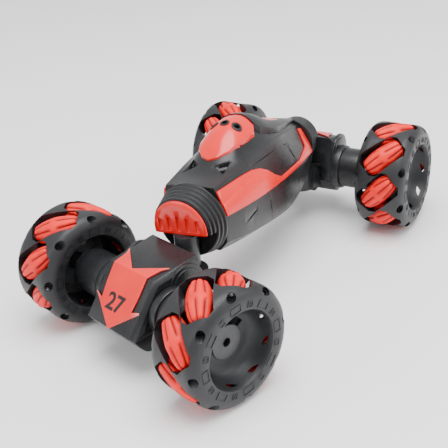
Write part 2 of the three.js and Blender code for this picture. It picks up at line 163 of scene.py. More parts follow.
# ---- Wheel shells
# Each wheel is an outer and an inner shell, screwed together over the rollers. Eight clipped bays
# at 45 degrees leave their edges as saw teeth, and the roller pins go in from the round shoulders.
joint = {j["name"]: j for j in frame["joints"]}
MM = Matrix.Scale(0.001, 4)
WHEELS = ("front_left", "front_right", "rear_left", "rear_right")
ROLLERS = 8
ROLLER_CIRCLE = 35.7
BAY_DEPTH = 9.8
bay_quarter = [(7.2, 18.2), (11.4, 14.0)]
PIN_HOLE = 1.9
PIN_WELL = 3.1
WELL_START = 21.8
shoulder = [(43.55, 13.5), (43.35, 15.2), (42.8, 16.9), (41.8, 18.5), (40.4, 19.8), (38.6, 20.8),
            (36.6, 21.4), (35.2, 21.6), (28.9, 21.6), (28.3, 21.4), (27.9, 20.9)]
outer_profile = [(3.5, -14), (7, -14), (7, 3), (19, 3), (23, 0.15), (43.2, 0.15), (43.5, 7), *shoulder,
                 (27.2, 18.6), (26.2, 15.5), (24.8, 12), (23, 9), (21, 7.4), (19, 6.6), (17, 6.3), (3.5, 6.3)]
inner_profile = [(25, -0.15), (43.2, -0.15), (43.5, -7), *[(r, -x) for r, x in shoulder],
                 (27, -18), (26, -12)]


def wheel_place(wheel):
    """The wheel's own frame: the axle through the origin, and +X outwards."""
    spin = joint[f"{wheel}_wheel_spin"]
    outwards = Vector(spin["axis"]) * (1 if "left" in wheel else -1)
    basis = Matrix((outwards, Vector((0, 0, 1)).cross(outwards), Vector((0, 0, 1)))).transposed()
    return Matrix.Translation(spin["pos_m"]) @ basis.to_4x4() @ MM


def roller_place(wheel, k):
    """Roller k's frame in its wheel: +X outwards from the axle, and +Y along the roller."""
    phase = math.radians(22.5) if "front" in wheel else 0
    hand = -1 if wheel in ("front_left", "rear_right") else 1
    angle = phase + k * math.tau / ROLLERS
    outwards = Vector((0, -math.cos(angle), math.sin(angle)))
    rising = Vector((0, math.sin(angle), math.cos(angle)))
    along = Vector((hand, 0, 0)) * math.cos(math.pi / 4) + rising * math.sin(math.pi / 4)
    basis = Matrix((outwards, along, outwards.cross(along))).transposed()
    return Matrix.Translation(outwards * ROLLER_CIRCLE) @ basis.to_4x4()


def rod(bm, radius, low, high, place=Matrix.Identity(4), sides=24):
    """A round bar along the Y axis of a place."""
    turn = Matrix.Translation((0, (low + high) / 2, 0)) @ Matrix.Rotation(math.pi / 2, 4, "X")
    return bmesh.ops.create_cone(bm, cap_ends=True, segments=sides, radius1=radius, radius2=radius,
                                 depth=high - low, matrix=place @ turn)["verts"]


def block(bm, low, high, place=Matrix.Identity(4), round_by=0.0):
    """A box between two corners, with its edges rounded."""
    size = [b - a for a, b in zip(low, high)]
    middle = [(a + b) / 2 for a, b in zip(low, high)]
    spot = place @ Matrix.Translation(middle) @ Matrix.Diagonal((*size, 1))
    made = bmesh.ops.create_cube(bm, size=1, matrix=spot)
    if round_by:
        edges = {edge for vert in made["verts"] for edge in vert.link_edges}
        bmesh.ops.bevel(bm, geom=list(edges), offset=round_by, affect="EDGES", segments=2, profile=0.5,
                        material=-1)
    return made["verts"]


def turned(profile, steps=96):
    """A closed outline of radius and distance along the axle, turned about the X axis."""
    bm = bmesh.new()
    verts = [bm.verts.new((x, 0, r)) for r, x in profile]
    edges = [bm.edges.new((a, b)) for a, b in zip(verts, verts[1:] + verts[:1])]
    bmesh.ops.spin(bm, geom=verts + edges, cent=(0, 0, 0), axis=(1, 0, 0), dvec=(0, 0, 0), angle=math.tau,
                   steps=steps, use_merge=True, use_duplicate=False)
    bmesh.ops.remove_doubles(bm, verts=bm.verts, dist=0.001)
    bmesh.ops.recalc_face_normals(bm, faces=bm.faces)
    return bm


def raised_verts(raised):
    """The vertices that an extrusion made."""
    return [v for v in raised["geom"] if isinstance(v, bmesh.types.BMVert)]


def drawn(bm, name):
    """The mesh as an object of its own, still in its own frame and in millimetres."""
    mesh = bpy.data.meshes.new(name)
    bm.to_mesh(mesh)
    bm.free()
    piece = bpy.data.objects.new(name, mesh)
    bpy.context.scene.collection.objects.link(piece)
    return piece


def shaped(piece, kind, **settings):
    """The piece after one modifier, whose result becomes its mesh."""
    modifier = piece.modifiers.new(kind.lower(), kind)
    for key, value in settings.items():
        setattr(modifier, key, value)
    bpy.context.view_layer.update()
    depsgraph = bpy.context.evaluated_depsgraph_get()
    mesh = bpy.data.meshes.new_from_object(piece.evaluated_get(depsgraph))
    piece.modifiers.clear()
    piece.data = mesh
    return piece


def carved(piece, cutter, operation="DIFFERENCE", keep=False):
    """The piece less another solid, or only what both hold."""
    shaped(piece, "BOOLEAN", operation=operation, solver="EXACT", object=cutter, use_self=True)
    if not keep:
        bpy.data.objects.remove(cutter)
    return piece


def settled(piece, place, finish, body, replaces=(), edge=0.35, smooth=38, steps=2):
    """The finished piece in its place on the car, with its edges rounded by a small radius."""
    if edge:
        shaped(piece, "BEVEL", width=edge, segments=steps, limit_method="ANGLE", angle_limit=math.radians(34),
               use_clamp_overlap=True, miter_outer="MITER_ARC")
    piece.data.transform(place)
    if place.determinant() < 0:
        piece.data.flip_normals()
    piece.data.polygons.foreach_set("use_smooth", [True] * len(piece.data.polygons))
    piece.data.set_sharp_from_angle(angle=math.radians(smooth))
    piece.data.materials.clear()
    piece.data.materials.append(finish)
    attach(piece, body)
    if replaces:
        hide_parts(*replaces)
    return piece


def bay_cutter(wheel):
    half = bay_quarter + [(across, -length) for across, length in reversed(bay_quarter)]
    outline = half + [(-across, length) for across, length in reversed(half)]
    bm = bmesh.new()
    for k in range(ROLLERS):
        place = roller_place(wheel, k)
        rim = [bm.verts.new(place @ Vector((-BAY_DEPTH, length, across))) for across, length in outline]
        raised = bmesh.ops.extrude_face_region(bm, geom=[bm.faces.new(rim)])
        bmesh.ops.translate(bm, vec=place.to_3x3() @ Vector((BAY_DEPTH + 11.5, 0, 0)),
                            verts=raised_verts(raised))
    bmesh.ops.recalc_face_normals(bm, faces=bm.faces)
    cutter = drawn(bm, "bays")
    pins = bmesh.new()
    for k in range(ROLLERS):
        place = roller_place(wheel, k)
        rod(pins, PIN_HOLE, -40, 40, place, 16)
    cutter_pins = drawn(pins, "pins")
    wells = bmesh.new()
    for k in range(ROLLERS):
        place = roller_place(wheel, k)
        rod(wells, PIN_WELL, WELL_START, 36, place, 28)
        rod(wells, PIN_WELL, -36, -WELL_START, place, 28)
    return cutter, cutter_pins, drawn(wells, "wells")


def web_window():
    """A curved opening through the web, beside the hub plate."""
    bm = bmesh.new()
    start, reach, back = 0.55, 1.7, 2
    arc = [bm.verts.new((back, radius * math.cos(start), radius * math.sin(start)))
           for radius in (12.6, 17.8)]
    bmesh.ops.spin(bm, geom=arc + [bm.edges.new(arc)], cent=(0, 0, 0), axis=(1, 0, 0), dvec=(0, 0, 0),
                   angle=reach, steps=20, use_merge=False, use_duplicate=False)
    raised = bmesh.ops.extrude_face_region(bm, geom=bm.faces[:])
    bmesh.ops.translate(bm, vec=(8, 0, 0), verts=raised_verts(raised))
    bmesh.ops.recalc_face_normals(bm, faces=bm.faces)
    return drawn(bm, "window")


for wheel in WHEELS:
    bays, pins, wells = bay_cutter(wheel)
    for half, profile in (("outer", outer_profile), ("inner", inner_profile)):
        shell = drawn(turned(profile), f"{wheel}_{half}_shell_fine")
        carved(shell, bays, keep=True)
        carved(shell, pins, keep=True)
        carved(shell, wells, keep=True)
        if half == "outer":
            carved(shell, web_window())
        settled(shell, wheel_place(wheel), shell_black, f"{wheel}_wheel",
                [f"{wheel}_{half}_shell"], edge=0.55, smooth=32)
    for cutter in (bays, pins, wells):
        bpy.data.objects.remove(cutter)


# ---- Lip marks
# A band of plain moulded marks runs round the flat lip of both shells: a long frame and a short pair
# of bars in turn, standing a third of a millimetre proud. They are coloured a deeper black than the
# shell as painted shade, standing in for the shadow inside engraved lines.
LIP_X = 21.6
LIP_MIDDLE = 32.0
# The marks' deeper black is painted shade, as if they were engraved lines in shadow.
engraving_shade_black = grained_black("engraving_shade_black", (0.004, 0.004, 0.005, 1), (0.009, 0.009, 0.01, 1), 0.38, 2600.0)


def lip_frame(bm, place, width, height, rim):
    made = bmesh.ops.create_grid(bm, x_segments=1, y_segments=1, size=0.5,
                                 matrix=place @ Matrix.Diagonal((width, height, 1, 1)))
    middle = list({face for vert in made["verts"] for face in vert.link_faces})
    around = bmesh.ops.inset_individual(bm, faces=middle, thickness=rim, depth=0)["faces"]
    bmesh.ops.delete(bm, geom=middle, context="FACES")
    raised = bmesh.ops.extrude_face_region(bm, geom=around)
    lift = place.to_3x3() @ Vector((0, 0, 0.35))
    bmesh.ops.translate(bm, vec=lift, verts=raised_verts(raised))


for wheel in WHEELS:
    marks = bmesh.new()
    for side in (1, -1):
        for i in range(16):
            around = Matrix.Rotation(i * math.tau / 16 + 0.1, 4, "X")
            flat = Matrix.Translation((side * LIP_X, 0, LIP_MIDDLE))
            flat = flat @ Matrix.Rotation(side * math.pi / 2, 4, "Y")
            if i % 2:
                lip_frame(marks, around @ flat, 4.4, 4.2, 0.6)
                block(marks, (-1.1, -0.25, 0), (1.1, 0.25, 0.35), around @ flat)
            else:
                lip_frame(marks, around @ flat, 5.4, 9.0, 0.65)
    bmesh.ops.recalc_face_normals(marks, faces=marks.faces)
    settled(drawn(marks, f"{wheel}_lip_marks"), wheel_place(wheel), engraving_shade_black, f"{wheel}_wheel",
            edge=0)


# ---- Hub plates
# A paler flat plate closes the hub at the bottom of the dish. The axle screw sits deep in its hole.
hub_grey = grained_black("hub_grey", (0.035, 0.036, 0.039, 1), (0.06, 0.061, 0.065, 1), 0.4, 2200.0)
screw_finish = Finish("screw_steel", Metallic=1.0)
screw_steel = screw_finish.wear(
    screw_finish.between((0.25, 0.25, 0.26, 1), (0.5, 0.5, 0.5, 1), screw_finish.noise(900.0), 0.4, 0.6),
    0.3 + screw_finish.noise(500.0) * 0.2,
    screw_finish.noise(1500.0),
)
for wheel in WHEELS:
    plate = drawn(turned([(3.1, 6.3), (3.1, 7.1), (12.0, 7.1), (12.4, 6.8), (12.4, 6.3)], 64),
                  f"{wheel}_hub_plate")
    settled(plate, wheel_place(wheel), hub_grey, f"{wheel}_wheel", edge=0.2)
    screw = bmesh.new()
    rod(screw, 2.3, 1.3, 3.4, Matrix.Rotation(-math.pi / 2, 4, "Z"), 24)
    head = drawn(screw, f"{wheel}_hub_screw")
    cross = bmesh.new()
    block(cross, (2.4, -1.7, -0.3), (4, 1.7, 0.3))
    carved(head, drawn(cross, "slot"))
    cross = bmesh.new()
    block(cross, (2.4, -0.3, -1.7), (4, 0.3, 1.7))
    carved(head, drawn(cross, "slot"))
    settled(head, wheel_place(wheel), screw_steel, f"{wheel}_wheel", edge=0.1)


# ---- Rollers
# The rollers are barrels of matt red soft plastic on steel pins. Eight grooves run along each one, and
# stop short at a plain band round its middle.
GROOVES = 8
roller_finish = Finish("roller_red", Specular_IOR_Level=0.3)
depth = roller_finish.node("ShaderNodeAttribute", {"attribute_name": "groove"}, out="Fac")
mottle = roller_finish.noise(120.0, 4.0)
fine = roller_finish.noise(1800.0, 2.0)
red_skin = roller_finish.between((0.80, 0.010, 0.006, 1), (0.95, 0.018, 0.012, 1), mottle, 0.35, 0.6)
# The grooves are painted a dark red: painted shade in the hollows of the grooves.
groove_shaded_red = roller_finish.node("ShaderNodeMix", {"data_type": "RGBA"}, out=2, Factor=depth)
mix = groove_shaded_red.socket.node
roller_finish.tree.links.new(red_skin.socket, mix.inputs[6])
mix.inputs[7].default_value = (0.22, 0.002, 0.002, 1)
roller_red = roller_finish.wear(groove_shaded_red, 0.42 + mottle * 0.16 + depth * 0.1, fine * 0.7 + mottle * 0.3)


def barrel():
    """A grooved roller about the Y axis, with how deep each point lies in a groove."""
    bm = bmesh.new()
    half = 17.0
    spots = [0, 0.08, 0.17, 0.28, 0.4, 0.54, 0.68, 0.8, 0.88, 0.95, 0.985, 1]
    spots = [-t for t in spots[:0:-1]] + spots
    line = []
    for t in spots:
        radius = 9.3 - 3.4 * t * t
        radius -= max(0, abs(t) - 0.9) ** 2 * 190
        line.append(bm.verts.new((radius, t * half, 0)))
    for end, t in ((line[0], -1), (line[-1], 1)):
        centre = bm.verts.new((1.4, t * half, 0))
        bm.edges.new((end, centre))
    for a, b in zip(line, line[1:]):
        bm.edges.new((a, b))
    bmesh.ops.spin(bm, geom=bm.verts[:] + bm.edges[:], cent=(0, 0, 0), axis=(0, 1, 0), dvec=(0, 0, 0),
                   angle=math.tau, steps=GROOVES * 6, use_merge=True, use_duplicate=False)
    bmesh.ops.remove_doubles(bm, verts=bm.verts, dist=0.001)
    groove = bm.verts.layers.float.new("groove")
    for vert in bm.verts:
        t = abs(vert.co.y) / half
        radius = math.hypot(vert.co.x, vert.co.z)
        if radius < 2:
            continue
        wave = 0.5 + 0.5 * math.cos(math.atan2(vert.co.z, vert.co.x) * GROOVES)
        along = min(1, max(0, (t - 0.09) / 0.1)) * min(1, max(0, (1.15 - t) / 0.2))
        cut = wave ** 5 * along
        vert[groove] = cut
        shrink = 1 - 1.25 * cut / radius
        vert.co.x *= shrink
        vert.co.z *= shrink
    bmesh.ops.recalc_face_normals(bm, faces=bm.faces)
    return bm


for wheel in WHEELS:
    for k in range(ROLLERS):
        place = wheel_place(wheel) @ roller_place(wheel, k)
        node = f"{wheel}_roller_{k + 1}"
        settled(drawn(barrel(), f"{node}_fine"), place, roller_red, node, [node], edge=0,
                smooth=60)
        pin = bmesh.new()
        rod(pin, 1.4, -20, 20, sides=20)
        settled(drawn(pin, f"{node}_pin"), place, screw_steel, node, edge=0.2)


# ---- Module housings
# Each wheel module is a black moulded housing with a steep face, a flat deck behind its brow and
# a ringed boss on each flank. The belly below it carries the axle tubes that reach into the wheels.
body_black = grained_black("body_black", (0.008, 0.0085, 0.0095, 1), (0.018, 0.019, 0.021, 1), 0.3, 1700.0,
                           Specular_IOR_Level=0.42)
HOUSING_HALF = 26.5
NOSE = -33.0
BROW = (-8.0, 70.0)
RIDGE_Z = 74.2
AXLE_Z = 45.0
SEAM_Z = 34.0
TUBE_RADIUS = 17.0


def module_place(end):
    """The module's own frame: the axle over the origin, its nose towards -Y."""
    left, right = (Vector(joint[f"{end}_{side}_wheel_spin"]["pos_m"]) for side in ("left", "right"))
    across = (left - right).normalized() * (1 if end == "front" else -1)
    basis = Matrix((across, Vector((0, 0, 1)).cross(across), Vector((0, 0, 1)))).transposed()
    middle = (left + right) / 2 - Vector((0, 0, 0.045))
    return Matrix.Translation(middle) @ basis.to_4x4() @ MM


def side_prism(outline, low_x, high_x):
    """An outline of (y, z) points, drawn out along X."""
    bm = bmesh.new()
    face = bm.faces.new([bm.verts.new((low_x, y, z)) for y, z in outline])
    raised = bmesh.ops.extrude_face_region(bm, geom=[face])
    bmesh.ops.translate(bm, vec=(high_x - low_x, 0, 0),
                        verts=raised_verts(raised))
    bmesh.ops.recalc_face_normals(bm, faces=bm.faces)
    return bm


def plan_prism(outline, low_z, high_z):
    """An outline of (x, y) points, drawn upwards."""
    bm = bmesh.new()
    face = bm.faces.new([bm.verts.new((x, y, low_z)) for x, y in outline])
    raised = bmesh.ops.extrude_face_region(bm, geom=[face])
    bmesh.ops.translate(bm, vec=(0, 0, high_z - low_z),
                        verts=raised_verts(raised))
    bmesh.ops.recalc_face_normals(bm, faces=bm.faces)
    return bm


def along(axis):
    """A place whose Y axis lies along X or Z."""
    return {"X": Matrix.Rotation(-math.pi / 2, 4, "Z"), "Z": Matrix.Rotation(math.pi / 2, 4, "X")}[axis]


axle_line = Matrix.Translation((0, 0, AXLE_Z)) @ along("X")


for end, arm, ridge in (("front", 43.0, 31.0), ("rear", 22.0, 10.0)):
    place = module_place(end)
    body = f"{end}_module"
    # The upper moulding, with chamfered flanks.
    w = HOUSING_HALF
    bm = side_prism([(NOSE, 36), BROW, (ridge, RIDGE_Z), (ridge, SEAM_Z + 0.3), (NOSE + 2, SEAM_Z + 0.3)],
                    -w, w)
    flanks = [e for e in bm.edges if abs(abs(e.verts[0].co.x) - w) < 0.1
              and abs(e.verts[0].co.x - e.verts[1].co.x) < 0.1 and min(v.co.z for v in e.verts) > 35.5]
    bmesh.ops.bevel(bm, geom=flanks, offset=3.2, affect="EDGES", segments=1, profile=0.5, material=-1)
    upper = drawn(bm, f"{end}_module_upper_fine")
    hollow = side_prism([(NOSE + 4.2, 20), (NOSE + 4.2, 38.5), (BROW[0] + 1, BROW[1] - 3.4),
                         (ridge - 2.4, RIDGE_Z - 3.2), (ridge - 2.4, 20)], -w + 3, w - 3)
    carved(upper, drawn(hollow, "hollow"))
    rooms = bmesh.new()
    rod(rooms, 4.8, -60, 60, axle_line, 32)
    carved(upper, drawn(rooms, "room"))
    rooms = bmesh.new()
    block(rooms, (-14.3, 5, 20), (14.3, arm, 49.3))
    carved(upper, drawn(rooms, "room"))
    rooms = bmesh.new()
    rod(rooms, 10.4, 37, 90, Matrix.Translation((0, arm, 0)) @ along("Z"), 48)
    carved(upper, drawn(rooms, "room"))
    # Three slanted slots in each flank.
    for x in (-w, w):
        for y0, y1, z0, z1 in ((-14, 2, 53, 55.5), (-19, -7, 46, 48.5), (-23, -15, 39.5, 42)):
            slot = bmesh.new()
            block(slot, (x - 1.3, y0, z0), (x + 1.3, y1, z1), round_by=0.8)
            spin = Matrix.Translation((0, (y0 + y1) / 2, (z0 + z1) / 2)) @ Matrix.Rotation(0.9, 4, "X")
            bmesh.ops.transform(slot, matrix=spin @ Matrix.Translation((0, -(y0 + y1) / 2, -(z0 + z1) / 2)),
                                verts=slot.verts)
            carved(upper, drawn(slot, "slot"))
    settled(upper, place, body_black, body, [f"{end}_module_upper"], edge=0.6)

    # The ringed bosses at the back of the flanks.
    bosses = bmesh.new()
    depth_y = ridge - 13
    for side in (-1, 1):
        for radius, reach in ((15.5, 0.9), (12.6, 1.7), (9.4, 1.1), (6.2, 1.9)):
            low, high = (w - 2, w + reach) if side > 0 else (-w - reach, -w + 2)
            rod(bosses, radius, low, high, Matrix.Translation((0, depth_y, 57.5)) @ along("X"), 56)
    settled(drawn(bosses, f"{end}_flank_bosses"), place, body_black, body, edge=0.5, steps=3)

    # The belly and the axle tubes.
    belly = side_prism([(NOSE + 8, 25), (NOSE + 2, SEAM_Z), (ridge, SEAM_Z), (ridge, 28), (ridge - 6, 22),
                        (NOSE + 13, 21)], -w, w)
    creased = [e for e in belly.edges if abs(e.verts[0].co.x - e.verts[1].co.x) > 1 and e.verts[0].co.z < 30]
    bmesh.ops.bevel(belly, geom=creased, offset=3, affect="EDGES", segments=4, profile=0.5, material=-1)
    lower = drawn(belly, f"{end}_module_lower_fine")
    neck = bmesh.new()
    block(neck, (-14, min(ridge - 3, arm - 10), 28), (14, arm, 45), round_by=1.2)
    carved(lower, drawn(neck, "neck"), "UNION")
    socket = bmesh.new()
    rod(socket, 14, 32, 49, Matrix.Translation((0, arm, 0)) @ along("Z"), 56)
    carved(lower, drawn(socket, "socket"), "UNION")
    settled(lower, place, body_black, body, [f"{end}_module_lower"], edge=0.5)
    tubes = bmesh.new()
    for side in (-1, 1):
        near, far = side * (w + 0.4), side * 61
        rod(tubes, TUBE_RADIUS, min(near, far), max(near, far), axle_line, 72)
        collar = side * (w + 7)
        rod(tubes, TUBE_RADIUS + 1.6, min(near, collar), max(near, collar), axle_line, 72)
    settled(drawn(tubes, f"{end}_axle_tubes"), place, body_black, body, edge=0.9, steps=3)


# ---- Number panels
# A barbed arrow of glossy red plastic lies on the steep face of each module and bends over its brow.
# Its points are painted a paler red, a painted reflection of the light on them, and a plain black number is
# printed on it.
gloss = Finish("panel_red", Specular_IOR_Level=0.42, Coat_Weight=0.3, Coat_Roughness=0.08)
tip_reflection_mask = gloss.node("ShaderNodeAttribute", {"attribute_name": "tip"}, out="Fac")
cast = gloss.noise(26.0, 4.0)
speck = gloss.noise(2100.0, 2.0)
lacquer = gloss.between((0.70, 0.008, 0.005, 1), (0.86, 0.014, 0.009, 1), cast)
# The arrow's points are mixed towards a pale pink: a painted reflection of the light.
paler = gloss.node("ShaderNodeMix", {"data_type": "RGBA"}, out=2, Factor=tip_reflection_mask)
gloss.tree.links.new(lacquer.socket, paler.socket.node.inputs[6])
paler.socket.node.inputs[7].default_value = (0.90, 0.30, 0.28, 1)
panel_red = gloss.wear(paler, 0.24 + (cast - 0.5) * 0.16 - gloss.scratches(220.0, 0.006) * 0.08,
                       speck * 0.3 + cast * 0.3)
print_black = grained_black("print_black", (0.004, 0.004, 0.005, 1), (0.009, 0.009, 0.010, 1), 0.4, 3000.0)
BARB = [(23.5, -22.5), (16.2, -24), (17.5, -17), (17.8, -8), (19, 3), (22, 8.5)]


def module_skin(lift, ridge, end):
    return drawn(side_prism([(NOSE - 1.24 * lift, 36), (BROW[0] - 0.5 * lift, BROW[1] + lift),
                             (ridge, RIDGE_Z + lift), (ridge, 36)], -HOUSING_HALF, HOUSING_HALF),
                 f"{end}_skin")


def with_reflection_mask(piece, reach):
    """The piece in fine strips, with how far each point lies towards the arrow's four points, the mask of the
    painted reflection.
    """
    bm = bmesh.new()
    bm.from_mesh(piece.data)
    for i in range(-11, 12):
        for normal in ((1, 0, 0), (0, 1, 0)):
            spot = Vector((i * 2.1, i * 2.1 - 10, 0))
            bmesh.ops.bisect_plane(bm, geom=bm.verts[:] + bm.edges[:] + bm.faces[:], plane_co=spot,
                                   plane_no=normal)
    tip = bm.verts.layers.float.new("tip")
    for vert in bm.verts:
        vert[tip] = max(0.0, min(1.0, (abs(vert.co.x) - reach) / 6.0)) ** 2 * 0.8
    bm.to_mesh(piece.data)
    bm.free()
    return piece


for end, ridge in (("front", 31.0), ("rear", 10.0)):
    place = module_place(end)
    panel = carved(module_skin(1.4, ridge, end), module_skin(0.3, ridge, end))
    outline = [(0, NOSE - 1), *BARB, (0, BROW[0] + 1), *[(-x, y) for x, y in reversed(BARB)]]
    carved(panel, drawn(plan_prism(outline, 30, 90), "arrow"), "INTERSECT")
    panel.name = f"{end}_number_panel_fine"
    shaped(panel, "BEVEL", width=0.3, segments=2, limit_method="ANGLE", angle_limit=0.6)
    settled(with_reflection_mask(panel, 16.5), place, panel_red, f"{end}_module", [f"{end}_number_panel"],
            edge=0)
    digits = bpy.data.curves.new(f"{end}_digits", "FONT")
    digits.body = "27"
    digits.size = 17
    digits.offset = 0.35
    digits.extrude = 0.06
    digits.align_x = "CENTER"
    digits.align_y = "CENTER"
    drawing = bpy.data.objects.new(f"{end}_number", digits)
    bpy.context.scene.collection.objects.link(drawing)
    bpy.context.view_layer.update()
    flat = bpy.data.meshes.new_from_object(drawing.evaluated_get(bpy.context.evaluated_depsgraph_get()))
    bpy.data.objects.remove(drawing)
    number = bpy.data.objects.new(f"{end}_number", flat)
    bpy.context.scene.collection.objects.link(number)
    slope = Vector((0, BROW[0] - NOSE, BROW[1] - 36)).normalized()
    out = Vector((0, -slope.z, slope.y))
    facing = Matrix((Vector((1, 0, 0)), slope, out)).transposed().to_4x4()
    spot = Vector((-1.5, NOSE, 36)) + slope * 17.0 + out * 1.5
    settled(number, place @ Matrix.Translation(spot) @ facing, print_black, f"{end}_module",
            edge=0)


# ---- Body shells
# The body is two hollow black mouldings that meet at a sloping seam. The hood is flat with two dark
# pockets, and the sides carry moulded grooves. Screws from below hold the two halves together.
# Each station: distance along the car, then floor, lower edge, belt and shoulder, and the crown.
STATIONS = [
    (-65, (17, 55), (24, 62), (26.5, 82), (20.5, 104.5), 105.5),
    (-48, (18, 52), (26, 58.5), (29, 81), (22.5, 105.5), 106.5),
    (-34, (19, 50), (27, 56), (30.5, 80), (24, 106.5), 113),
    (-18, (19, 47.5), (27.5, 53), (31.5, 79), (25, 107.5), 124),
    (-2, (19, 45.5), (27.5, 50.5), (31.5, 77.5), (25.5, 108), 129.5),
    (18, (19, 43.5), (27, 48), (31, 75.5), (25, 107.5), 128),
    (36, (18, 43), (25, 46.5), (29.5, 73.5), (22.5, 105), 119),
    (62, (16, 46), (22, 50), (26.5, 71), (16.5, 99.5), 108),
    (92, (12, 54), (17, 58), (20.5, 71), (8.5, 92.5), 95.5),
]
STRIPS = 44


def flat_station(row):
    y, *corners, crown = row
    return [y, *[value for corner in corners for value in corner], crown]


def station_at(y):
    """The station's numbers at any place along the body, on a smooth curve through the listed ones."""
    rows = [flat_station(row) for row in STATIONS]
    i = max(0, min(len(rows) - 2, next((k for k, row in enumerate(rows[1:]) if y <= row[0]), len(rows) - 2)))
    a, b = rows[i], rows[i + 1]
    before, after = rows[max(0, i - 1)], rows[min(len(rows) - 1, i + 2)]
    t = (y - a[0]) / (b[0] - a[0])
    made = []
    for k in range(1, len(a)):
        slope_a = (b[k] - before[k]) / (b[0] - before[0]) * (b[0] - a[0])
        slope_b = (after[k] - a[k]) / (after[0] - a[0]) * (b[0] - a[0])
        made.append(a[k] * (2 * t ** 3 - 3 * t ** 2 + 1) + slope_a * (t ** 3 - 2 * t ** 2 + t)
                    + b[k] * (3 * t ** 2 - 2 * t ** 3) + slope_b * (t ** 3 - t ** 2))
    return made


def body_form(margin, name="form"):
    """The body's outside as a closed solid, moved outwards by a margin."""
    bm = bmesh.new()
    loops = []
    for i in range(STRIPS + 1):
        y = -65 + 157 * i / STRIPS
        *pairs, crown = station_at(y)
        corners = list(zip(pairs[0::2], pairs[1::2]))
        sx, sz = corners[-1]
        dome = []
        for t in (0.91, 0.82, 0.72, 0.61, 0.5, 0.38, 0.26, 0.13):
            share = 1 - 1.25 * t * t if t < 0.83 else 0.16 * (1 - t) / 0.18
            dome.append((sx * t, sz + (crown - sz) * share))
        half = corners + dome
        middle = (corners[0][1] + crown) / 2
        ring = half + [(0, crown)] + [(-x, z) for x, z in reversed(half)]
        end_shift = -margin if i == 0 else margin if i == STRIPS else 0
        verts = [bm.verts.new((x + margin * math.copysign(1, x) if x else 0, y + end_shift,
                               z + (margin * math.copysign(1, z - middle) if abs(z - middle) > 12 else 0)))
                 for x, z in ring]
        loops.append([bm.edges.new((a, b)) for a, b in zip(verts, verts[1:] + verts[:1])])
    for a, b in zip(loops, loops[1:]):
        bmesh.ops.bridge_loops(bm, edges=a + b)
    for loop in (loops[0], loops[-1]):
        bmesh.ops.contextual_create(bm, geom=loop)
    bmesh.ops.recalc_face_normals(bm, faces=bm.faces)
    return drawn(bm, name)


def half_space(below_seam):
    """Everything above or below the sloping seam."""
    line = [(-120, 86.2), (130, 67.1)]
    if below_seam:
        outline = [(-120, 0), (130, 0), (130, line[1][1]), (-120, line[0][1])]
    else:
        outline = [(-120, line[0][1]), (130, line[1][1]), (130, 170), (-120, 170)]
    return drawn(side_prism(outline, -60, 60), "half")


rear = Vector(joint["rear_swivel"]["pos_m"]) - Vector((0, 0.078, 0.06))
body_place = (Matrix.Translation(rear + Vector((-0.0055, -0.025, 0.08)))
              @ Matrix.Rotation(math.radians(-1.5), 4, "Z") @ Matrix.Rotation(math.radians(-6), 4, "Y")
              @ Matrix.Translation((0, 0, -0.08)) @ MM)


def groove(points, width, depth, sides=(-1, 1)):
    """A square groove along a line of (y, z) points on the body's flanks."""
    cuts = []
    for side in sides:
        for (y0, z0), (y1, z1) in zip(points, points[1:]):
            x = side * station_width((y0 + y1) / 2, (z0 + z1) / 2)
            length = math.hypot(y1 - y0, z1 - z0)
            bm = bmesh.new()
            block(bm, (-depth, -length / 2 - 0.2, -width / 2), (depth, length / 2 + 0.2, width / 2),
                  Matrix.Translation((x, (y0 + y1) / 2, (z0 + z1) / 2))
                  @ Matrix.Rotation(math.atan2(z1 - z0, y1 - y0), 4, "X"))
            cuts.append(drawn(bm, "groove"))
    return cuts


def station_width(y, z):
    """The body's half width at a height."""
    *pairs, crown = station_at(y)
    corners = list(zip(pairs[0::2], pairs[1::2]))
    for (x0, z0), (x1, z1) in zip(corners, corners[1:]):
        if z0 <= z <= z1:
            return x0 + (x1 - x0) * (z - z0) / (z1 - z0)
    return corners[-1][0]


hollow = carved(body_form(0), body_form(-2.4))
upper = drawn(bmesh.new(), "body_upper_shell_fine")
upper.data = hollow.data.copy()
carved(upper, half_space(True))
for cut in groove([(44, 94), (50, 78), (36, 79)], 1.4, 0.9) \
        + groove([(-30, 103), (20, 101), (60, 92)], 0.9, 0.6):
    carved(upper, cut)
for x in (-1, 1):
    outline = [(7, -39), (17, -45), (16, -31)] if x > 0 else [(-7, -39), (-16, -31), (-17, -45)]
    pocket = plan_prism(outline, 103.4, 120)
    carved(upper, drawn(pocket, "pocket"))
settled(upper, body_place, body_black, "car_body", ["body_upper_shell"], edge=0.7, steps=2,
        smooth=30)

lower = drawn(bmesh.new(), "body_lower_shell_fine")
lower.data = hollow.data.copy()
bpy.data.objects.remove(hollow)
carved(lower, half_space(False))
hatch_room = bmesh.new()
block(hatch_room, (-13.3, -22.3, 30), (13.3, 30.3, 52))
carved(lower, drawn(hatch_room, "room"))
switch_room = bmesh.new()
block(switch_room, (-5.4, 45.6, 30), (5.4, 50.4, 52))
carved(lower, drawn(switch_room, "room"))
for cut in groove([(-61, 61), (-9, 76)], 1.6, 0.9) + groove([(-7, 76), (-3, 52)], 1.6, 0.9) \
        + groove([(48, 70), (52, 52)], 1.2, 0.8):
    carved(lower, cut)
settled(lower, body_place, body_black, "car_body", ["body_lower_shell"], edge=0.7, steps=2,
        smooth=30)


# ---- Roof: cowl, frame and window
# A glossy red cowl covers the front of the dome, and a thick black frame behind it holds a red leaf-shaped
# window. All three are pressed into the upper shell.
def skin_plate(region, low, high, name):
    plate = carved(body_form(high, name), body_form(low))
    carved(plate, drawn(region, "region"), "INTERSECT")
    return plate


def both_sides(half):
    return half + [(-x, y) for x, y in reversed(half) if x]


